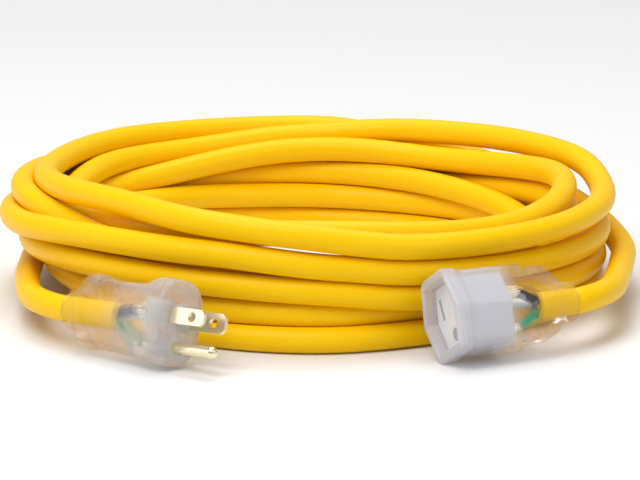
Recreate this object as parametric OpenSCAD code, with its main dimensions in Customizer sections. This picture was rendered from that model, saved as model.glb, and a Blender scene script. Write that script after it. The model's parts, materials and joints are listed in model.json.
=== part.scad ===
/* [Cord] */
// Outer diameter of the cord's jacket
cord_d = 10.4; // [9:0.1:11]
// Outer radius of the coil
coil_outer_r = 124; // [115:1:130]
// Width of the coil's ring, about two turns side by side
coil_ring_w = 24; // [18:1:30]
// Height of the coil, about five turns on each other
coil_h = 50; // [35:1:55]
// Diameter of one insulated conductor
wire_d = 3.8; // [3.2:0.1:4]
// Diameter of the bare strands of one conductor
strand_d = 2.3; // [1.8:0.1:2.5]

/* [Plug] */
// Length of the plug from the cord's mouth to its face
plug_len = 60; // [56:1:66]
// Half width of the plug's front flange
plug_half_w = 13.3; // [13:0.1:15]
// Half height of the plug's front flange
plug_half_h = 17.2; // [17:0.1:19]
// Height of the blades' line over the cord's axis
plug_blade_z = 2.5; // [1.5:0.5:3.5]
// Length of the blades in front of the face
blade_len = 17.9; // [17:0.1:18.2]
// Length of the ground pin in front of the face
pin_len = 21.4; // [20:0.1:22]

/* [Connector] */
// Length of the connector from the cord's mouth to its rim
conn_len = 61; // [59:1:66]
// Half width of the connector's barrel at half its height
conn_half_w = 14.5; // [14.5:0.1:16]
// Half width of the connector's barrel at its top and bottom flats
conn_flat_w = 9; // [9:0.1:10]
// Half height of the connector's barrel
conn_half_h = 15.8; // [15.8:0.1:17]
// Depth of the recess in front of the contact carrier
recess_d = 5; // [4:0.5:6]
// Height of the slots' line over the cord's axis
conn_slot_z = 4.2; // [4:0.1:4.4]

/* [Standard 125 V, 15 A pattern] */
// Distance between the two flat blades
blade_pitch = 12.7; // [12.7:0.1:12.7]
// Distance from the blades' line to the ground pin
pin_drop = 11.9; // [11.9:0.1:11.9]
// Thickness of a blade
blade_t = 1.52; // [1.4:0.02:1.6]
// Width of the hot blade
hot_w = 6.35; // [6.2:0.05:6.5]
// Width of the neutral blade
neutral_w = 7.9; // [7.8:0.05:8.1]
// Diameter of the ground pin
pin_d = 4.76; // [4.7:0.02:4.8]

/* [Hidden] */

jacket_yellow = [0.96, 0.74, 0.05];
clear_pvc = [0.85, 0.86, 0.9, 0.45];
frosted = [0.9, 0.91, 0.93];
brass = [0.86, 0.72, 0.4];
copper = [0.78, 0.45, 0.25];

cord_r = cord_d / 2;
wire_r = wire_d / 2;
strand_r = strand_d / 2;

// where the coil and the two ends lie; the origin is the middle of the whole, on the floor
coil_at = [-4, 19, 0];
plug_at = [-99.8, -87, 14.8];
plug_turn = [-20, -3, -41];
conn_at = [100, -90.5, 18.9];
conn_turn = [30, 0, 207];

// the cord bends at the middle of each mouth: its end is a ball there, in a cup with this gap
mouth_gap = 0.3;
// the housings and the jacket's ends start this far inside the mouth
mouth_x = 2.6;

// middle line of the cord from the coil to the plug's mouth
plug_route = [
  [-120, 15, 11], [-120, -10, 12], [-118.6, -32, 12.5], [-116, -54, 13],
  [-110.9, -70, 14], [-105.3, -80.3, 14.5], [-99.8, -87, 14.8]
];
// middle line of the cord from the coil to the connector's mouth
conn_route = [
  [112, 66, 23], [120, 42, 20], [124.5, 18, 17], [122.6, -6, 16], [119.2, -34, 16],
  [115.6, -59.3, 17.4], [108.7, -79.1, 18.6], [100, -90.5, 18.9]
];

// places along the plug, from its mouth
plug_jacket_x = 31;
plug_wire_x = 43;
plug_crimp_x = 44.6;
plug_tang_x = 48;
carrier_x = plug_len - 10;
// length of the strands inside a crimp
strand_grip = 3;

// places along the connector, from its mouth
conn_jacket_x = 19;
conn_wire_x = 28.5;
conn_crimp_x = 30;
carrier_back_x = conn_len - recess_d - 20.5;
carrier_face_x = conn_len - recess_d;
contact_wall = 2;
contact_base_x = carrier_back_x + 3.5;
contact_base_t = 3;
leaf_x = contact_base_x + contact_base_t + 0.3;
leaf_t = 0.5;
leaf_len = 11;
leaf_flare = 0.4;
leaf_grip = 0.6;
ground_grip = pin_d / 2 - 0.15;
contact_w = 3.6;
contact_h = 6.4;
ground_contact_w = 6.6;
ground_contact_h = 4.6;
ground_leaf_h = 4.4;
blade_pocket_w = 4.2;
blade_pocket_h = 7.6;
ground_pocket_w = 8;
ground_pocket_h = 6;
slot_w = 2;
// the blades' slots are this much longer than the blades, and the ground hole this much wider
slot_play = 0.6;
// wall of a crimped barrel round the strands
crimp_wall = 0.8;
// the ground pin is thinner where it is moulded in, so it has a shoulder at the plug's face
pin_shank_r = 2;

plug_hot = [-blade_pitch / 2, plug_blade_z];
plug_neutral = [blade_pitch / 2, plug_blade_z];
plug_ground = [0, plug_blade_z - pin_drop];
conn_hot = [blade_pitch / 2, conn_slot_z];
conn_neutral = [-blade_pitch / 2, conn_slot_z];
conn_ground = [0, conn_slot_z - pin_drop];

// ---- helpers ----

function unit(v) = v / norm(v);

// a point between points b and c of a smooth curve through a, b, c and d
function spline_point(a, b, c, d, t) =
  0.5 * (2 * b + (c - a) * t + (2 * a - 5 * b + 4 * c - d) * t * t + (3 * b - a - 3 * c + d) * t * t * t);

function route_points(p, steps) = concat(
  [for (i = [0 : len(p) - 2]) for (k = [0 : steps - 1])
    spline_point(p[max(i - 1, 0)], p[i], p[i + 1], p[min(i + 2, len(p) - 1)], k / steps)],
  [p[len(p) - 1]]
);

function ring_at(c, t, r, n) =
  let (side = unit(cross(t, [0, 0, 1])), up = cross(side, t))
  [for (k = [0 : n - 1]) c + r * (cos(360 * k / n) * side + sin(360 * k / n) * up)];

// rings of a tube along p, with a round end built from a few shrinking rings
function tube_rings(p, r, n) =
  let (last = len(p) - 1, t_end = unit(p[last] - p[last - 1]))
  concat(
    [for (i = [0 : last]) ring_at(p[i], unit(p[min(i + 1, last)] - p[max(i - 1, 0)]), r, n)],
    [for (a = [25 : 20 : 85]) ring_at(p[last] + r * sin(a) * t_end, t_end, r * cos(a), n)]
  );

// one closed solid through a list of rings that all have the same number of points
module loft(rings) {
  n = len(rings[0]);
  m = len(rings);
  polyhedron(
    points = [for (ring = rings) for (p = ring) p],
    faces = concat(
      [[for (k = [n - 1 : -1 : 0]) k]],
      [for (i = [0 : m - 2]) for (k = [0 : n - 1])
        [i * n + k, i * n + (k + 1) % n, (i + 1) * n + (k + 1) % n, (i + 1) * n + k]],
      [[for (k = [0 : n - 1]) (m - 1) * n + k]]
    ),
    convexity = 6
  );
}

function power(v, e) = sign(v) * pow(abs(v), e);

// oval section across X: half width, half height, height of its middle, squareness
function oval(x, hw, hh, cz, e) =
  [for (k = [0 : 31]) let (a = -360 * k / 32)
    [x, hw * power(cos(a), 2 / e), cz + hh * power(sin(a), 2 / e)]];

// directions that each corner of a six-sided section turns through, from the right side round
function corner_turns(lean) = [
  [-lean, lean], [lean, 90], [90, 180 - lean], [180 - lean, 180 + lean], [180 + lean, 270],
  [270, 360 - lean]
];

// six-sided section across X that is widest at half its height, with round corners
function barrel(x, flat_w, half_w, half_h, cz, r) =
  let (
    turns = corner_turns(atan2(half_w - flat_w, half_h)),
    corners = [
      [half_w, 0], [flat_w, half_h], [-flat_w, half_h], [-half_w, 0], [-flat_w, -half_h],
      [flat_w, -half_h]
    ],
    run = [for (i = [0 : 5]) for (k = [0 : 3])
      let (a = turns[i][0] + (turns[i][1] - turns[i][0]) * k / 3,
           inset = r / cos((turns[i][1] - turns[i][0]) / 2),
           mid = (turns[i][0] + turns[i][1]) / 2)
      [x, corners[i][0] - inset * cos(mid) + r * cos(a),
       cz + corners[i][1] - inset * sin(mid) + r * sin(a)]]
  )
  [for (k = [23 : -1 : 0]) run[k]];

// round section with as many points, each in line with one of the barrel's
function round_section(x, r, lean) =
  let (run = [for (turn = corner_turns(lean)) for (k = [0 : 3])
    let (a = turn[0] + (turn[1] - turn[0]) * (k + 0.5) / 4)
    [x, r * cos(a), r * sin(a)]])
  [for (k = [23 : -1 : 0]) run[k]];

// cylinder between two points
module rod(a, b, r) {
  d = b - a;
  translate(a)
    rotate([0, acos(d[2] / norm(d)), atan2(d[1], d[0])])
      cylinder(h = norm(d), r = r, $fn = 24);
}

// cylinder along X
module bar(x0, x1, r, at = [0, 0]) {
  translate([x0, at[0], at[1]]) rotate([0, 90, 0]) cylinder(h = x1 - x0, r = r, $fn = 36);
}

// block along X, centred on a point across it
module block(x0, x1, w, h, at = [0, 0]) {
  translate([x0, at[0] - w / 2, at[1] - h / 2]) cube([x1 - x0, w, h]);
}

module place_plug() {
  translate(plug_at) rotate([0, 0, plug_turn[2]]) rotate([0, plug_turn[1], 0])
    rotate([plug_turn[0], 0, 0]) children();
}

module place_connector() {
  translate(conn_at) rotate([0, 0, conn_turn[2]]) rotate([0, conn_turn[1], 0])
    rotate([conn_turn[0], 0, 0]) children();
}

// ---- inside both ends ----

// where a conductor leaves the jacket: each on its own side of the cord's axis
function wire_start(at) = at * (wire_r * 1.17 / norm(at));

module jacket_end(x1, wire_x, ends) {
  difference() {
    bar(mouth_x, x1, cord_r);
    sphere(r = cord_r + mouth_gap, $fn = 48);
    for (at = ends) insulation(x1, wire_x, at);
  }
}

// straight insulated run from the jacket to the crimp
module insulation(x0, x1, at) {
  s = wire_start(at);
  rod([x0, s[0], s[1]], [x1, at[0], at[1]], wire_r);
}

module wire(x0, x1, crimp_x, at) {
  difference() {
    insulation(x0, x1, at);
    strands(x1, crimp_x, at);
  }
}

module strands(x1, crimp_x, at) {
  bar(x1 - 0.8, crimp_x + strand_grip, strand_r, at);
}

// crimped barrel that grips the strands
module crimp(crimp_x, tang_x, at) {
  difference() {
    bar(crimp_x, tang_x + 0.5, strand_r + crimp_wall, at);
    bar(crimp_x - 1, crimp_x + strand_grip, strand_r, at);
  }
}

// ---- cord ----

module cord_coil() {
  color(jacket_yellow) translate(coil_at) rotate_extrude($fn = 96)
    translate([coil_outer_r - coil_ring_w, 0]) {
      translate([0, cord_r]) square([coil_ring_w, coil_h - cord_d]);
      translate([cord_r, 0]) square([coil_ring_w - cord_d, coil_h]);
      for (x = [cord_r, coil_ring_w - cord_r]) for (z = [cord_r, coil_h - cord_r])
        translate([x, z]) circle(r = cord_r, $fn = 32);
    }
}

module plug_lead() {
  color(jacket_yellow) loft(tube_rings(route_points(plug_route, 3), cord_r, 12));
}

module connector_lead() {
  color(jacket_yellow) loft(tube_rings(route_points(conn_route, 3), cord_r, 12));
}

// ---- plug ----

module plug_shell() {
  loft([
    oval(mouth_x, 6.9, 6.9, 0, 2),
    oval(mouth_x + 1, 7.6, 7.6, 0, 2),
    oval(10, 8.6, 8.6, 0, 2),
    oval(12, 9.6, 9.8, 0.3, 2.1),
    oval(13.5, 11.8, 14, 0.6, 2.3),
    oval(15, 12.3, 14.8, 0.6, 2.4),
    oval(18, 12.3, 14.9, 0.5, 2.4),
    oval(20, 11.4, 14, 0, 2.4),
    oval(30, 11.2, 14, -0.5, 2.4),
    oval(43, 11.6, 14.8, -0.8, 2.4),
    oval(48, 12.6, 16.2, -0.3, 2.5),
    oval(51, plug_half_w, plug_half_h, 0, 2.6),
    oval(plug_len - 1.2, plug_half_w - 0.2, plug_half_h - 0.2, 0, 2.6),
    oval(plug_len, plug_half_w - 1.2, plug_half_h - 1.2, 0, 2.6)
  ]);
}

module plug_housing() {
  color(clear_pvc) place_plug() difference() {
    plug_shell();
    bar(mouth_x - 1, plug_jacket_x, cord_r);
    for (at = [plug_hot, plug_neutral, plug_ground]) {
      insulation(plug_jacket_x, plug_wire_x, at);
      bar(plug_wire_x - 0.8, plug_crimp_x, strand_r, at);
      bar(plug_crimp_x, plug_tang_x + 0.5, strand_r + crimp_wall, at);
    }
    carrier_body();
    blade_bar(plug_hot, hot_w);
    blade_bar(plug_neutral, neutral_w);
    bar(plug_tang_x, plug_len, pin_shank_r, plug_ground);
  }
}

// rounded boss around one blade
module blade_boss(at) {
  boss_w = 5;
  boss_h = 11;
  block(carrier_x, plug_len, boss_w, boss_h - boss_w, at);
  for (side = [-1, 1])
    bar(carrier_x, plug_len, boss_w / 2, at + [0, side * (boss_h - boss_w) / 2]);
}

module carrier_body() {
  bridge_h = 15;
  blade_boss(plug_hot);
  blade_boss(plug_neutral);
  bar(carrier_x, plug_len, 4.6, plug_ground);
  block(carrier_x, carrier_x + 5, blade_pitch, bridge_h, [0, plug_blade_z - bridge_h / 2 + 4]);
}

module blade_bar(at, w) {
  block(plug_tang_x, plug_len + 1, blade_t, w, at);
}

module plug_blade_carrier() {
  color(frosted) place_plug() difference() {
    carrier_body();
    blade_bar(plug_hot, hot_w);
    blade_bar(plug_neutral, neutral_w);
    bar(carrier_x - 1, plug_len + 1, pin_shank_r, plug_ground);
  }
}

// flat blade with a chamfered tip and a round detent hole
module blade(at, w) {
  tip = plug_len + blade_len;
  chamfer = 1.6;
  hole_x = plug_len + 11.9;
  crimp(plug_crimp_x, plug_tang_x, at);
  difference() {
    translate([0, at[0] + blade_t / 2, at[1]]) rotate([90, 0, 0]) linear_extrude(blade_t)
      polygon([
        [plug_tang_x, -w / 2], [tip - chamfer, -w / 2], [tip, -w / 2 + chamfer],
        [tip, w / 2 - chamfer], [tip - chamfer, w / 2], [plug_tang_x, w / 2]
      ]);
    translate([hole_x, at[0] + blade_t, at[1]]) rotate([90, 0, 0])
      cylinder(h = 2 * blade_t, d = 3.96, $fn = 36);
  }
}

module hot_blade() {
  color(brass) place_plug() blade(plug_hot, hot_w);
}

module neutral_blade() {
  color(brass) place_plug() blade(plug_neutral, neutral_w);
}

module ground_pin() {
  tip = plug_len + pin_len;
  color(brass) place_plug() {
    crimp(plug_crimp_x, plug_tang_x, plug_ground);
    bar(plug_tang_x, plug_len + 1, pin_shank_r, plug_ground);
    bar(plug_len, tip - pin_d / 2, pin_d / 2, plug_ground);
    translate([tip - pin_d / 2, plug_ground[0], plug_ground[1]]) sphere(d = pin_d, $fn = 36);
  }
}

module plug_jacket_end() {
  color(jacket_yellow) place_plug()
    jacket_end(plug_jacket_x, plug_wire_x, [plug_hot, plug_neutral, plug_ground]);
}

module plug_hot_wire() {
  color([0.08, 0.08, 0.08]) place_plug() wire(plug_jacket_x, plug_wire_x, plug_crimp_x, plug_hot);
}

module plug_neutral_wire() {
  color([0.92, 0.92, 0.9]) place_plug()
    wire(plug_jacket_x, plug_wire_x, plug_crimp_x, plug_neutral);
}

module plug_ground_wire() {
  color([0.1, 0.6, 0.35]) place_plug() wire(plug_jacket_x, plug_wire_x, plug_crimp_x, plug_ground);
}

module plug_hot_strands() {
  color(copper) place_plug() strands(plug_wire_x, plug_crimp_x, plug_hot);
}

module plug_neutral_strands() {
  color(copper) place_plug() strands(plug_wire_x, plug_crimp_x, plug_neutral);
}

module plug_ground_strands() {
  color(copper) place_plug() strands(plug_wire_x, plug_crimp_x, plug_ground);
}

// ---- connector ----

// the barrel's section, grown by g on every side
function conn_ring(x, g, cz = 0, r = 3.5) =
  barrel(x, conn_flat_w + g * 0.8, conn_half_w + g, conn_half_h + g, cz, r);

function conn_round(x, r) = round_section(x, r, atan2(conn_half_w - conn_flat_w, conn_half_h));

module connector_shell() {
  loft([
    conn_round(mouth_x, 7.2),
    conn_round(mouth_x + 1, 8),
    conn_round(8.5, 8.6),
    barrel(10.5, 6.5, 9.6, 10, 0, 4.5),
    conn_ring(15.5, -1.6, 0.4, 4.2),
    conn_ring(21.5, -1.4, 0.4, 4.2),
    conn_ring(24.5, -1.8, 0),
    conn_ring(25.8, 0),
    conn_ring(53.5, 0),
    conn_ring(55, 0.9, 0, 3.8),
    conn_ring(conn_len - 0.8, 1.1, 0, 3.8),
    conn_ring(conn_len, 0.4, 0, 3.5)
  ]);
}

function carrier_ring(x) = barrel(x, 8.2, 11.8, 12.6, 0, 1.2);

// opening of the rim in front of the carrier
function recess_ring(x, g) = barrel(x, 8.4 + g, 12.2 + g, 13.2 + g, 0, 1.5);

module carrier_block(front_x = carrier_face_x) {
  loft([carrier_ring(carrier_back_x), carrier_ring(front_x)]);
}

module connector_housing() {
  color(clear_pvc) place_connector() difference() {
    connector_shell();
    bar(mouth_x - 1, conn_jacket_x, cord_r);
    for (at = [conn_hot, conn_neutral, conn_ground]) {
      insulation(conn_jacket_x, conn_wire_x, at);
      bar(conn_wire_x - 0.8, conn_crimp_x, strand_r, at);
      bar(conn_crimp_x, carrier_back_x + 1, strand_r + crimp_wall, at);
    }
    carrier_block(carrier_face_x + 1);
    loft([recess_ring(carrier_face_x, 0), recess_ring(conn_len + 1, 0.5)]);
  }
}

// pocket for one blade's contact, behind the carrier's front wall
module blade_pocket(at) {
  block(contact_base_x - 0.01, carrier_face_x - contact_wall, blade_pocket_w, blade_pocket_h, at);
}

module contact_carrier() {
  color([0.95, 0.95, 0.96]) place_connector() difference() {
    carrier_block();
    for (at = [conn_hot, conn_neutral, conn_ground])
      bar(carrier_back_x - 1, contact_base_x, strand_r + crimp_wall, at);
    blade_pocket(conn_hot);
    blade_pocket(conn_neutral);
    block(contact_base_x - 0.01, carrier_face_x - contact_wall - 1,
      ground_pocket_w, ground_pocket_h, conn_ground);
    block(carrier_face_x - 3, carrier_face_x + 1, slot_w, hot_w + slot_play, conn_hot);
    block(carrier_face_x - 3, carrier_face_x + 1, slot_w, neutral_w + slot_play, conn_neutral);
    bar(carrier_face_x - 4, carrier_face_x + 1, (pin_d + slot_play) / 2, conn_ground);
  }
}

// crimp, tail and base of one contact
module contact(at, w, h) {
  crimp(conn_crimp_x, contact_base_x, at);
  block(contact_base_x, contact_base_x + contact_base_t, w, h, at);
}

module hot_contact() {
  color(brass) place_connector() contact(conn_hot, contact_w, contact_h);
}

module neutral_contact() {
  color(brass) place_connector() contact(conn_neutral, contact_w, contact_h);
}

module ground_contact() {
  color(brass) place_connector() contact(conn_ground, ground_contact_w, ground_contact_h);
}

// one spring leaf: a flat strip whose tip flares away from the blade; side is +1 or -1 across Y
module leaf(at, side, grip, length, h) {
  translate([0, at[0], at[1] - h / 2]) scale([1, side, 1]) linear_extrude(h)
    polygon([
      [leaf_x, grip], [leaf_x + length - 2, grip], [leaf_x + length, grip + leaf_flare],
      [leaf_x + length, grip + leaf_flare + leaf_t], [leaf_x + length - 2, grip + leaf_t],
      [leaf_x, grip + leaf_t]
    ]);
}

module hot_contact_inner_leaf() {
  color(brass) place_connector() leaf(conn_hot, -1, leaf_grip, leaf_len, contact_h);
}

module hot_contact_outer_leaf() {
  color(brass) place_connector() leaf(conn_hot, 1, leaf_grip, leaf_len, contact_h);
}

module neutral_contact_inner_leaf() {
  color(brass) place_connector() leaf(conn_neutral, 1, leaf_grip, leaf_len, contact_h);
}

module neutral_contact_outer_leaf() {
  color(brass) place_connector() leaf(conn_neutral, -1, leaf_grip, leaf_len, contact_h);
}

module ground_contact_left_leaf() {
  color(brass) place_connector() leaf(conn_ground, -1, ground_grip, leaf_len - 1.2, ground_leaf_h);
}

module ground_contact_right_leaf() {
  color(brass) place_connector() leaf(conn_ground, 1, ground_grip, leaf_len - 1.2, ground_leaf_h);
}

module connector_jacket_end() {
  color(jacket_yellow) place_connector()
    jacket_end(conn_jacket_x, conn_wire_x, [conn_hot, conn_neutral, conn_ground]);
}

module connector_hot_wire() {
  color([0.08, 0.08, 0.08]) place_connector()
    wire(conn_jacket_x, conn_wire_x, conn_crimp_x, conn_hot);
}

module connector_neutral_wire() {
  color([0.92, 0.92, 0.9]) place_connector()
    wire(conn_jacket_x, conn_wire_x, conn_crimp_x, conn_neutral);
}

module connector_ground_wire() {
  color([0.1, 0.6, 0.35]) place_connector()
    wire(conn_jacket_x, conn_wire_x, conn_crimp_x, conn_ground);
}

module connector_hot_strands() {
  color(copper) place_connector() strands(conn_wire_x, conn_crimp_x, conn_hot);
}

module connector_neutral_strands() {
  color(copper) place_connector() strands(conn_wire_x, conn_crimp_x, conn_neutral);
}

module connector_ground_strands() {
  color(copper) place_connector() strands(conn_wire_x, conn_crimp_x, conn_ground);
}

cord_coil();
plug_lead();
connector_lead();
plug_housing();
plug_blade_carrier();
hot_blade();
neutral_blade();
ground_pin();
plug_jacket_end();
plug_hot_wire();
plug_neutral_wire();
plug_ground_wire();
plug_hot_strands();
plug_neutral_strands();
plug_ground_strands();
connector_housing();
contact_carrier();
hot_contact();
neutral_contact();
ground_contact();
hot_contact_inner_leaf();
hot_contact_outer_leaf();
neutral_contact_inner_leaf();
neutral_contact_outer_leaf();
ground_contact_left_leaf();
ground_contact_right_leaf();
connector_jacket_end();
connector_hot_wire();
connector_neutral_wire();
connector_ground_wire();
connector_hot_strands();
connector_neutral_strands();
connector_ground_strands();
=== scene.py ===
"""Looks of the coiled extension cord.

The cord lies at its full length, in place of the CAD's plain coil. The two housings are remade with
softer sections. Then come the materials, the light and the camera."""

import json
import math

import bpy
import numpy as np
from mathutils import Matrix, Vector


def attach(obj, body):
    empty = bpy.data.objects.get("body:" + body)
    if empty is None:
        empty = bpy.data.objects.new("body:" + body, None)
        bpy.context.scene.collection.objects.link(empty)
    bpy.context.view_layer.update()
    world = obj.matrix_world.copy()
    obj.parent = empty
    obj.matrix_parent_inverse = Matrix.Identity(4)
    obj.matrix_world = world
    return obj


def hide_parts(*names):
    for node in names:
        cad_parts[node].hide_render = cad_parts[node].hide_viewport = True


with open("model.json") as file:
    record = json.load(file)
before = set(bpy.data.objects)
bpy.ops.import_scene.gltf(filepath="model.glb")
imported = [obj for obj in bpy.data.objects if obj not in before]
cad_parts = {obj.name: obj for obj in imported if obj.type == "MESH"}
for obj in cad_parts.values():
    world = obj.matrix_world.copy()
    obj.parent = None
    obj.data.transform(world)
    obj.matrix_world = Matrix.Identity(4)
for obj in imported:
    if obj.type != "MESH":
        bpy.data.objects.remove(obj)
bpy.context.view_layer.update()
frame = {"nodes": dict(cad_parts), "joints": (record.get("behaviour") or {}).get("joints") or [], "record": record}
MM = 0.001

# ---- driving sizes, in millimetres ----

CORD_D = 10.4
CORD_R = CORD_D / 2
# with both ends on it, the whole cord is 25 feet long
# middle of the coil on the floor
COIL_AT = np.array([-4.0, 19.0, 0.0])

# middle line of the cord from the coil to the plug's mouth
PLUG_ROUTE = [
    (-120, 15, 11),
    (-120, -10, 12),
    (-118.6, -32, 12.5),
    (-116, -54, 13),
    (-110.9, -70, 14),
    (-105.3, -80.3, 14.5),
    (-99.8, -87, 14.8),
]
# middle line of the cord from the coil to the connector's mouth
CONNECTOR_ROUTE = [
    (112, 66, 23),
    (120, 42, 20),
    (124.5, 18, 17),
    (122.6, -6, 16),
    (119.2, -34, 16),
    (115.6, -59.3, 17.4),
    (108.7, -79.1, 18.6),
    (100, -90.5, 18.9),
]

# Where each turn is laid, from the plug's end: distance from the coil's middle and height,
# at the left, back, right and front. The turns are then pushed a diameter apart.
TURNS = [
    [(116, 11), (125.5, 5.2), (116, 5.6), (118, 5.2)],
    [(94, 5.2), (114.5, 6.5), (105.5, 5.2), (97, 5.2)],
    [(94, 15.6), (105, 8.3), (95, 5.2), (104, 12.5)],
    [(94, 26), (103, 18.4), (105.5, 15.6), (114.5, 14.2)],
    [(106, 15.6), (121, 14.5), (116.5, 16), (117, 23.3)],
    [(115.5, 25), (105.5, 27), (95.5, 18), (105, 28.5)],
    [(119, 44), (118, 34), (118, 27), (119, 34.5)],
    [(123, 34), (117, 23.8), (105, 33.5), (97.5, 20.5)],
    [(104.5, 26), (103, 38.8), (104, 44), (108, 45.3)],
    [(100.5, 36), (113, 42.2), (120, 41), (119.5, 46)],
    [(109.8, 47.5), (123.5, 43.2)],
]
# more places on the way: turn, angle past the left, distance and height
BETWEEN = [
    (0, 245, 112.5, 5.2),
    (0, 315, 106, 5.2),
    (3, 245, 106, 14),
    (4, 250, 117, 19.6),
    (4, 290, 117.4, 26),
    (4, 315, 118, 27.4),
    (5, 60, 108, 25),
    (5, 125, 103, 25),
    (5, 315, 109.5, 37),
    (6, 125, 117.5, 30.5),
    (6, 250, 119, 30.6),
    (6, 288, 119.5, 38.5),
    (6, 315, 120, 39.6),
    (7, 140, 109, 28.5),
    (8, 119, 107, 36),
    (8, 225, 107, 41.3),
    (9, 45, 106, 36.5),
    (9, 112, 113, 46.2),
    (9, 135, 116, 47),
    (9, 160, 119.5, 46),
    (9, 225, 120, 40),
    (9, 250, 120, 40.5),
    (9, 290, 118, 50),
    (9, 315, 110.5, 52.5),
    (10, 45, 115, 45),
    (10, 67, 117.5, 42.8),
]
# the last turn comes down outside the others: angle past the left, distance and height
LAST_DROP = [(112, 124, 37), (134, 125.5, 29.5)]


# ---- curves ----

# steps of a smooth curve between two of its given points
SPLINE_STEPS = 12


def spline_point(a, b, c, d, t):
    """A point between points b and c of a smooth curve through a, b, c and d."""
    return 0.5 * (
        2 * b
        + (c - a) * t
        + (2 * a - 5 * b + 4 * c - d) * t * t
        + (3 * b - a - 3 * c + d) * t**3
    )


def spline(points, steps):
    """A smooth curve through the points, with so many steps between each two."""
    p = np.asarray(points, float)
    last = len(p) - 1
    run = [
        spline_point(p[max(i - 1, 0)], p[i], p[i + 1], p[min(i + 2, last)], k / steps)
        for i in range(last)
        for k in range(steps)
    ]
    return np.array(run + [p[last]])


def length_along(points):
    """How far along the line each of its points is."""
    steps = np.linalg.norm(np.diff(points, axis=0), axis=1)
    return np.concatenate([[0], np.cumsum(steps)])


def evenly(points, step):
    """The same line with points about a step apart."""
    along = length_along(points)
    places = np.linspace(0, along[-1], round(along[-1] / step) + 1)
    return np.stack([np.interp(places, along, points[:, k]) for k in range(3)], axis=1)


# ---- the coil ----

# degrees between the places where a turn is laid
LAY_STEP = 8
# distance between the points of the line that is then settled, in millimetres
LINE_STEP = 8
# how much of each route's coil end settles with the coil, in millimetres
PLUG_ROUTE_FREE = 10
CONNECTOR_ROUTE_FREE = 25
# passes of the settling, and how often it looks again for turns that are near each other
PASSES = 320
LOOK_EVERY = 4
# turns are near within so many diameters; a point's next few neighbours don't count
NEAR_DIAMETERS = 1.35
SKIPPED_POINTS = 5
# two points are side by side if they are within this much of a step along the cord
SIDE_BY_SIDE = 0.62
# how much of each wanted move is made in a pass
PUSH_SHARE = 1.2
SMOOTH_SHARE = 0.35
BACK_SHARE = 0.01
# keeps a division from having nothing below it
TINY = 1e-6


def ring_point(angle, radius, height):
    """A point of the coil; the angle runs clockwise from the left, seen from above."""
    turn = math.radians(angle)
    return COIL_AT + np.array([-radius * math.cos(turn), radius * math.sin(turn), height])


def slopes(x, y):
    """How steep the curve through the places is at each one, without overshooting between them."""
    rise = np.diff(y) / np.diff(x)
    slope = np.zeros(len(x))
    slope[0], slope[-1] = rise[0], rise[-1]
    for i in range(1, len(x) - 1):
        before, after = rise[i - 1], rise[i]
        if before * after > 0:
            w1 = 2 * (x[i + 1] - x[i]) + (x[i] - x[i - 1])
            w2 = (x[i + 1] - x[i]) + 2 * (x[i] - x[i - 1])
            slope[i] = (w1 + w2) / (w1 / before + w2 / after)
    return slope


def eased(stations, step):
    """Places every step degrees on the smooth curve through the stations."""
    table = np.array(stations, float)
    angle = table[:, 0]
    places = np.linspace(angle[0], angle[-1], round((angle[-1] - angle[0]) / step) + 1)
    left = np.clip(np.searchsorted(angle, places, side="right") - 1, 0, len(angle) - 2)
    width = angle[left + 1] - angle[left]
    t = (places - angle[left]) / width
    columns = [places]
    for column in table.T[1:]:
        steep = slopes(angle, column)
        columns.append(
            column[left] * (1 + 2 * t) * (1 - t) ** 2
            + column[left + 1] * t**2 * (3 - 2 * t)
            + steep[left] * width * t * (1 - t) ** 2
            - steep[left + 1] * width * t**2 * (1 - t)
        )
    return np.stack(columns, axis=1)


def laid_turns():
    """The coil's line as it is laid, without its two ends, which belong to the two routes."""
    stations = [
        (360 * turn + 90 * quarter, radius, height)
        for turn, row in enumerate(TURNS)
        for quarter, (radius, height) in enumerate(row)
    ]
    full_turns = 360 * (len(TURNS) - 1)
    stations += [(360 * turn + angle, radius, height) for turn, angle, radius, height in BETWEEN]
    stations += [(full_turns + angle, radius, height) for angle, radius, height in LAST_DROP]
    x, y, height = CONNECTOR_ROUTE[0] - COIL_AT
    angle = math.degrees(math.atan2(y, -x))
    stations.append((full_turns + angle, math.hypot(x, y), height))
    return np.array([ring_point(*place) for place in eased(sorted(stations), LAY_STEP)[1:-1]])


def near_pairs(line):
    """Pairs of points of different turns that lie close to each other."""
    gap = line[:, None, :] - line[None, :, :]
    close = (gap**2).sum(axis=2) < (NEAR_DIAMETERS * CORD_D) ** 2
    index = np.arange(len(line))
    return np.where(close & (index[None, :] - index[:, None] > SKIPPED_POINTS))


def pushed_apart(line, pairs, free):
    """How far each point has to move so that no two turns are closer than a diameter."""
    first, second = pairs
    along = np.gradient(line, axis=0)
    along /= np.linalg.norm(along, axis=1)[:, None]
    same_way = np.sign((along[first] * along[second]).sum(axis=1))[:, None]
    both = along[first] + along[second] * same_way
    both /= np.linalg.norm(both, axis=1)[:, None]
    gap = line[first] - line[second]
    lengthwise = (gap * both).sum(axis=1)
    gap -= lengthwise[:, None] * both
    distance = np.linalg.norm(gap, axis=1)
    hit = (distance < CORD_D) & (np.abs(lengthwise) < SIDE_BY_SIDE * LINE_STEP)
    first, second = first[hit], second[hit]
    push = gap[hit] * ((CORD_D - distance[hit]) / np.maximum(distance[hit], TINY))[:, None]
    share = free[first] / np.maximum(free[first] + free[second], TINY)
    move = np.zeros_like(line)
    count = np.zeros(len(line))
    np.add.at(move, first, push * share[:, None])
    np.add.at(move, second, -push * (1 - share)[:, None])
    np.add.at(count, first, 1)
    np.add.at(count, second, 1)
    return move / np.maximum(count, 1)[:, None]


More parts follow.
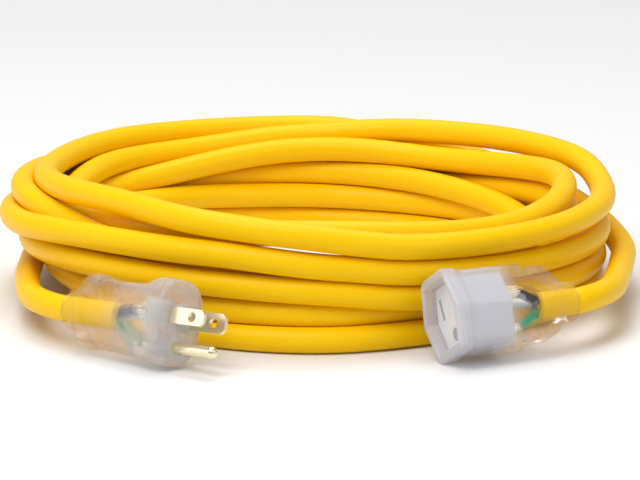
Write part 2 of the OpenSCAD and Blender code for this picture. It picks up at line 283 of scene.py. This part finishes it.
def bend_of(line):
    """How far each point is from the middle of its two neighbours."""
    bend = np.zeros_like(line)
    bend[1:-1] = (line[:-2] + line[2:]) / 2 - line[1:-1]
    return bend


def settled(line, free):
    """The laid line with its turns a diameter apart, smooth, and on or over the floor."""
    laid = line.copy()
    laid_bend = bend_of(laid)
    move_share = free[:, None]
    for i in range(PASSES):
        if i % LOOK_EVERY == 0:
            pairs = near_pairs(line)
        line = line + PUSH_SHARE * move_share * pushed_apart(line, pairs, free)
        line += SMOOTH_SHARE * move_share * (bend_of(line) - laid_bend)
        line += BACK_SHARE * move_share * (laid - line)
        line[:, 2] = np.maximum(line[:, 2], CORD_R)
    return line


def cord_line():
    """The whole cord's middle line from the plug's mouth to the connector's, in millimetres."""
    whole = np.vstack([PLUG_ROUTE[::-1], laid_turns(), CONNECTOR_ROUTE])
    line = evenly(spline(whole, SPLINE_STEPS), LINE_STEP)
    along = length_along(line)
    plug_lead = length_along(spline(PLUG_ROUTE, SPLINE_STEPS))[-1]
    connector_lead = length_along(spline(CONNECTOR_ROUTE, SPLINE_STEPS))[-1]
    near_plug = along < plug_lead - PLUG_ROUTE_FREE
    near_connector = along > along[-1] - connector_lead + CONNECTOR_ROUTE_FREE
    free = np.where(near_plug | near_connector, 0.0, 1.0)
    return settled(line, free)


# where a round end has its rings, in degrees from its rim towards its tip
END_ANGLES = (15, 30, 45, 60, 75, 88)


def make_cord(line):
    """One curve with a round end in each mouth."""
    data = bpy.data.curves.new("cord", "CURVE")
    data.dimensions = "3D"
    data.bevel_depth = CORD_R * MM
    data.bevel_resolution = 8
    data.use_fill_caps = True
    ends = []
    for tip, inner in ((line[0], line[1]), (line[-1], line[-2])):
        outward = (tip - inner) / np.linalg.norm(tip - inner)
        angles = [math.radians(a) for a in END_ANGLES]
        ends.append([(tip + CORD_R * math.sin(a) * outward, math.cos(a)) for a in angles])
    places = ends[0][::-1] + [(p, 1.0) for p in line] + ends[1]
    piece = data.splines.new("POLY")
    piece.points.add(len(places) - 1)
    for point, (place, radius) in zip(piece.points, places):
        point.co = (*(place * MM), 1)
        point.radius = radius
    piece.use_smooth = True
    cord = bpy.data.objects.new("cord_line", data)
    bpy.context.collection.objects.link(cord)
    return cord


# ---- the two ends' own frames ----


def mount(name):
    """The record's mount of that name."""
    for item in frame["record"]["mounts"]:
        if item["name"] == name:
            return item


def end_frame(joint_name, face_name, right_name, left_name):
    """Millimetres along one end, from its mouth, to metres in the row frame.

    X runs out of the end's face, Y from its right blade or slot to its left, and Z away from
    the ground pin."""
    mouth = Vector(next(j["pos_m"] for j in frame["joints"] if j["name"] == joint_name))
    ahead = Vector(mount(face_name)["axis"]).normalized()
    across = Vector(mount(left_name)["pos_m"]) - Vector(mount(right_name)["pos_m"])
    across = (across - across.dot(ahead) * ahead).normalized()
    up = ahead.cross(across)
    turn = Matrix((ahead, across, up)).transposed().to_4x4()
    return Matrix.Translation(mouth) @ turn @ Matrix.Scale(MM, 4)


def loft(name, rings, place):
    """A closed mesh through rings that all have the same number of points."""
    count = len(rings[0])
    points = [place @ Vector(p) for ring in rings for p in ring]
    faces = []
    for start in range(0, (len(rings) - 1) * count, count):
        for k in range(count):
            beside = (k + 1) % count
            faces.append((start + k, start + beside, start + count + beside, start + count + k))
    faces.append(tuple(range(count))[::-1])
    faces.append(tuple((len(rings) - 1) * count + k for k in range(count)))
    mesh = bpy.data.meshes.new(name)
    mesh.from_pydata(points, [], faces)
    mesh.update()
    made = bpy.data.objects.new(name, mesh)
    bpy.context.collection.objects.link(made)
    return made


def cloud(obj, rings, milk_along):
    """Writes how milky the clear plastic looks at each point of the mesh."""
    places, milk = np.array(milk_along).T
    values = [float(np.interp(point[0], places, milk)) for ring in rings for point in ring]
    layer = obj.data.attributes.new("milk", "FLOAT", "POINT")
    layer.data.foreach_set("value", values)


def face_outward(obj):
    """Turns the mesh's faces to point out of it."""
    bpy.context.view_layer.objects.active = obj
    obj.select_set(True)
    bpy.ops.object.mode_set(mode="EDIT")
    bpy.ops.mesh.select_all(action="SELECT")
    bpy.ops.mesh.normals_make_consistent(inside=False)
    bpy.ops.object.mode_set(mode="OBJECT")
    obj.select_set(False)


def shade(obj, sharp_angle):
    """Smooth shading, but for edges sharper than so many degrees."""
    obj.data.shade_smooth()
    obj.data.set_sharp_from_angle(angle=math.radians(sharp_angle))


# how many times the rounding of a housing's sections is repeated
ROUNDING_PASSES = 2


def smoothed(rows, spacing):
    """Rows of numbers, the first of them a place, filled in evenly and rounded where they turn."""
    rows = np.asarray(rows, float)
    places = np.linspace(rows[0, 0], rows[-1, 0], round((rows[-1, 0] - rows[0, 0]) / spacing) + 1)
    out = np.stack([np.interp(places, rows[:, 0], column) for column in rows.T], axis=1)
    for _ in range(ROUNDING_PASSES):
        out[1:-1] = (out[:-2] + 2 * out[1:-1] + out[2:]) / 4
    return out


# ---- plug housing ----

# along the plug: place, half width, half height, height of the middle, squareness
PLUG_SECTIONS = [
    (2.6, 6.9, 6.9, 0, 2),
    (3.6, 7.6, 7.6, 0, 2),
    (10, 8.6, 8.6, 0, 2),
    (12, 9.6, 9.8, 0.3, 2.1),
    (13.5, 11.8, 14, 0.6, 2.3),
    (15, 12.3, 14.8, 0.6, 2.4),
    (18, 12.3, 14.9, 0.5, 2.4),
    (20, 11.4, 14, 0, 2.4),
    (30, 11.2, 14, -0.5, 2.4),
    (43, 11.6, 14.8, -0.8, 2.4),
    (48, 12.6, 16.2, -0.3, 2.5),
    (51, 13.3, 17.2, 0, 2.6),
    (58.8, 13.1, 17, 0, 2.6),
    (59.9, 12.1, 16, 0, 2.6),
]
# points on each of the plug's rings, and the distance between the rings
OVAL_POINTS = 72
PLUG_RING_GAP = 0.55
# place along the plug and how milky the plastic looks there
PLUG_MILK = [(0, 0.06), (26, 0.08), (36, 0.29), (50, 0.42), (60, 0.36)]


def power(value, exponent):
    """The power of a value's size, with the value's own sign."""
    return math.copysign(abs(value) ** exponent, value)


def oval(x, half_w, half_h, middle, squareness):
    """An oval section; a squareness of 2 is an ellipse, and more comes nearer to a box."""
    angles = [2 * math.pi * k / OVAL_POINTS for k in range(OVAL_POINTS)]
    return [
        (
            x,
            half_w * power(math.cos(a), 2 / squareness),
            middle + half_h * power(math.sin(a), 2 / squareness),
        )
        for a in angles
    ]


def make_plug_housing(place):
    rings = [oval(*row) for row in smoothed(PLUG_SECTIONS, PLUG_RING_GAP)]
    housing = loft("plug_housing_clear", rings, place)
    cloud(housing, rings, PLUG_MILK)
    face_outward(housing)
    shade(housing, sharp_angle=50)
    return housing


# ---- connector housing ----

# length, half widths at the flats and at half height, half height, and depth of the recess
CONN_LEN = 61
CONN_FLAT_W = 9
CONN_HALF_W = 14.5
CONN_HALF_H = 15.8
RECESS_D = 5
# points on each round corner of a section
CORNER_STEPS = 5
# distance between the connector's rings
CONNECTOR_RING_GAP = 0.6
# place along the connector and how milky the plastic looks there
CONNECTOR_MILK = [(0, 0.06), (30, 0.07), (36, 0.45), (61, 0.6)]


def corner_turns(lean):
    """Directions that each corner of the six-sided section turns through."""
    return [
        (-lean, lean),
        (lean, 90),
        (90, 180 - lean),
        (180 - lean, 180 + lean),
        (180 + lean, 270),
        (270, 360 - lean),
    ]


def barrel(x, flat_w, half_w, half_h, middle, r):
    """Six-sided section that is widest at half its height, with round corners."""
    corners = [(half_w, 0), (flat_w, half_h), (-flat_w, half_h)]
    corners += [(-y, -z) for y, z in corners]
    lean = math.degrees(math.atan2(half_w - flat_w, half_h))
    ring = []
    for (y, z), (start, end) in zip(corners, corner_turns(lean)):
        centre = math.radians((start + end) / 2)
        inset = r / math.cos(math.radians(end - start) / 2)
        for k in range(CORNER_STEPS):
            a = math.radians(start + (end - start) * k / (CORNER_STEPS - 1))
            ring.append(
                (
                    x,
                    y - inset * math.cos(centre) + r * math.cos(a),
                    middle + z - inset * math.sin(centre) + r * math.sin(a),
                )
            )
    return ring


def round_section(x, r):
    """Round section with each point in line with one of the barrel's."""
    lean = math.degrees(math.atan2(CONN_HALF_W - CONN_FLAT_W, CONN_HALF_H))
    return [
        (x, r * math.cos(math.radians(a)), r * math.sin(math.radians(a)))
        for start, end in corner_turns(lean)
        for a in [start + (end - start) * (k + 0.5) / CORNER_STEPS for k in range(CORNER_STEPS)]
    ]


def grown(x, g, middle=0.0, r=3.5):
    """The barrel's section, grown by g on every side."""
    return barrel(x, CONN_FLAT_W + g * 0.8, CONN_HALF_W + g, CONN_HALF_H + g, middle, r)


def filled_in(rings):
    """More rings between the given ones, rounded a little where they turn."""
    stack = np.array(rings)
    flat = np.concatenate([stack[:, :1, 0], stack.reshape(len(rings), -1)], axis=1)
    rows = smoothed(flat, CONNECTOR_RING_GAP)
    return [row[1:].reshape(-1, 3).tolist() for row in rows]


def make_connector_housing(place):
    outside = filled_in(
        [
            round_section(2.6, 7.2),
            round_section(3.6, 8),
            round_section(8.5, 8.6),
            barrel(10.5, 6.5, 9.6, 10, 0, 4.5),
            grown(15.5, -1.6, 0.4, 4.2),
            grown(21.5, -1.4, 0.4, 4.2),
            grown(24.5, -1.8),
            grown(25.8, 0),
            grown(53.5, 0),
            grown(55, 0.9, 0, 3.8),
            grown(CONN_LEN - 0.8, 1.1, 0, 3.8),
        ]
    )
    # the recess ends just behind the carrier's face, so that the two faces don't coincide
    floor_x = CONN_LEN - RECESS_D - 0.1
    rim = [
        grown(CONN_LEN, 0.4),
        barrel(CONN_LEN, 8.9, 12.7, 13.7, 0, 1.5),
        barrel(CONN_LEN - 0.4, 8.5, 12.3, 13.3, 0, 1.5),
        barrel(floor_x, 8.4, 12.2, 13.2, 0, 1.5),
    ]
    housing = loft("connector_housing_clear", outside + rim, place)
    cloud(housing, outside + rim, CONNECTOR_MILK)
    face_outward(housing)
    shade(housing, sharp_angle=35)
    return housing


# ---- materials ----


def material(name, colour, roughness, **values):
    """A plain shader; further values are its sockets' names with underscores."""
    made = bpy.data.materials.new(name)
    made.use_nodes = True
    shader = made.node_tree.nodes["Principled BSDF"]
    shader.inputs["Base Color"].default_value = (*colour, 1)
    shader.inputs["Roughness"].default_value = roughness
    for key, value in values.items():
        shader.inputs[key.replace("_", " ")].default_value = value
    return made


def bump(made, scale, strength, distance):
    """Fine unevenness of a moulded surface, in object space."""
    nodes, links = made.node_tree.nodes, made.node_tree.links
    places = nodes.new("ShaderNodeTexCoord")
    noise = nodes.new("ShaderNodeTexNoise")
    noise.inputs["Scale"].default_value = scale
    noise.inputs["Detail"].default_value = 3
    node = nodes.new("ShaderNodeBump")
    node.inputs["Strength"].default_value = strength
    node.inputs["Distance"].default_value = distance
    links.new(places.outputs["Object"], noise.inputs["Vector"])
    links.new(noise.outputs["Fac"], node.inputs["Height"])
    links.new(node.outputs["Normal"], nodes["Principled BSDF"].inputs["Normal"])
    return made


def milk_value(nodes, links, low, high):
    """A value that runs from low to high with the mesh's milk."""
    source = nodes.new("ShaderNodeAttribute")
    source.attribute_name = "milk"
    scale = nodes.new("ShaderNodeMapRange")
    scale.inputs["To Min"].default_value = low
    scale.inputs["To Max"].default_value = high
    links.new(source.outputs["Fac"], scale.inputs["Value"])
    return scale.outputs["Result"]


# the clear plastic's values without milk and at full milk
MILK_RANGES = {
    "Transmission Weight": (1, 0),
    "Roughness": (0.1, 0.4),
    "Alpha": (0.32, 1.1),
}


def milky(made):
    """Clear plastic that scatters more light, and is rougher, where the mesh says so."""
    nodes, links = made.node_tree.nodes, made.node_tree.links
    shader = nodes["Principled BSDF"]
    for socket, (low, high) in MILK_RANGES.items():
        links.new(milk_value(nodes, links, low, high), shader.inputs[socket])
    return made


def make_materials():
    """One for each of the record's material slots."""
    jacket = material("yellow_jacket", (0.93, 0.55, 0.0), 0.38, Specular_IOR_Level=0.14)
    clear = material(
        "clear_pvc", (0.76, 0.75, 0.8), 0.15, Transmission_Weight=0.85, IOR=1.42, Alpha=0.62
    )
    return {
        "yellow_jacket": bump(jacket, 160, 0.1, 0.0004),
        "clear_pvc": milky(clear),
        "frosted_pvc": material(
            "frosted_pvc", (0.9, 0.9, 0.93), 0.35, Transmission_Weight=0.6, IOR=1.42, Alpha=0.75
        ),
        "white_carrier": material("white_carrier", (0.72, 0.72, 0.75), 0.4),
        "brass": material("brass", (0.91, 0.81, 0.54), 0.27, Metallic=1.0),
        "copper_strands": material("copper_strands", (0.8, 0.42, 0.24), 0.35, Metallic=1.0),
        "black_insulation": material("black_insulation", (0.012, 0.012, 0.018), 0.35),
        "white_insulation": material("white_insulation", (0.85, 0.85, 0.82), 0.35),
        "green_insulation": material("green_insulation", (0.02, 0.38, 0.17), 0.35),
    }


def paint(obj, made):
    """Gives the object that one material."""
    obj.data.materials.clear()
    obj.data.materials.append(made)


# ---- stage ----

WORLD_STRENGTH = 0.36
FLOOR_COLOUR = (0.8, 0.8, 0.81)
FLOOR_SIZE = 8
# each light's name, place and diameter in metres, and its power in watts
LIGHTS = [
    ("key", (-0.5, -0.9, 1.6), 1.2, 20),
    ("fill", (1.1, -1.0, 0.9), 1.0, 4),
    ("side", (-1.7, -0.15, 0.6), 1.2, 5),
    ("top", (0, 0.5, 1.7), 1.4, 17),
]
# what the camera looks at, in millimetres, and from how high and how far
CAMERA_TARGET = (-0.7, 19, 20)
CAMERA_ELEVATION = 12
CAMERA_DISTANCE = 2.0
CAMERA_LENS = 272
CAMERA_SENSOR = 36


def make_floor():
    bpy.ops.mesh.primitive_plane_add(size=FLOOR_SIZE, location=(0, 0, 0))
    floor = bpy.context.active_object
    floor.name = "floor"
    paint(floor, material("floor", FLOOR_COLOUR, 0.7))


def make_light(name, place, size, watts):
    """A round light that shines at the middle of the floor."""
    data = bpy.data.lights.new(name, "AREA")
    data.shape = "DISK"
    data.size = size
    data.energy = watts
    light = bpy.data.objects.new(name, data)
    light.location = place
    light.rotation_euler = (-Vector(place)).to_track_quat("-Z", "Y").to_euler()
    bpy.context.collection.objects.link(light)


def make_world():
    world = bpy.data.worlds.new("studio")
    world.use_nodes = True
    sky = world.node_tree.nodes["Background"]
    sky.inputs["Color"].default_value = (1, 1, 1, 1)
    sky.inputs["Strength"].default_value = WORLD_STRENGTH
    bpy.context.scene.world = world


def make_camera():
    """A long lens from the front, a little above, as the object was photographed."""
    elevation = math.radians(CAMERA_ELEVATION)
    back = Vector((0, -math.cos(elevation), math.sin(elevation)))
    data = bpy.data.cameras.new("camera")
    data.lens = CAMERA_LENS
    data.sensor_width = CAMERA_SENSOR
    camera = bpy.data.objects.new("camera", data)
    camera.location = Vector(CAMERA_TARGET) * MM + CAMERA_DISTANCE * back
    camera.rotation_euler = (-back).to_track_quat("-Z", "Y").to_euler()
    bpy.context.collection.objects.link(camera)
    bpy.context.scene.camera = camera


# ---- putting it together ----

make_camera()
materials = make_materials()

cord = make_cord(cord_line())
paint(cord, materials["yellow_jacket"])
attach(cord, "cord")
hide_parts("cord_coil", "plug_lead", "connector_lead")

plug_place = end_frame("plug_flex", "plug_face", "plug_hot_blade", "plug_neutral_blade")
connector_place = end_frame(
    "connector_flex", "connector_ground_socket", "connector_neutral_slot", "connector_hot_slot"
)
plug_housing = make_plug_housing(plug_place)
connector_housing = make_connector_housing(connector_place)
for housing, body, node in (
    (plug_housing, "plug", "plug_housing"),
    (connector_housing, "connector", "connector_housing"),
):
    paint(housing, materials["clear_pvc"])
    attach(housing, body)
    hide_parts(node)

slot_of = {part["node"]: part["material_slot"] for part in frame["record"]["subparts"]}
for name, node in frame["nodes"].items():
    paint(node, materials[slot_of[name]])

make_floor()
make_world()
for light in LIGHTS:
    make_light(*light)
bpy.context.scene.view_settings.view_transform = "Standard"
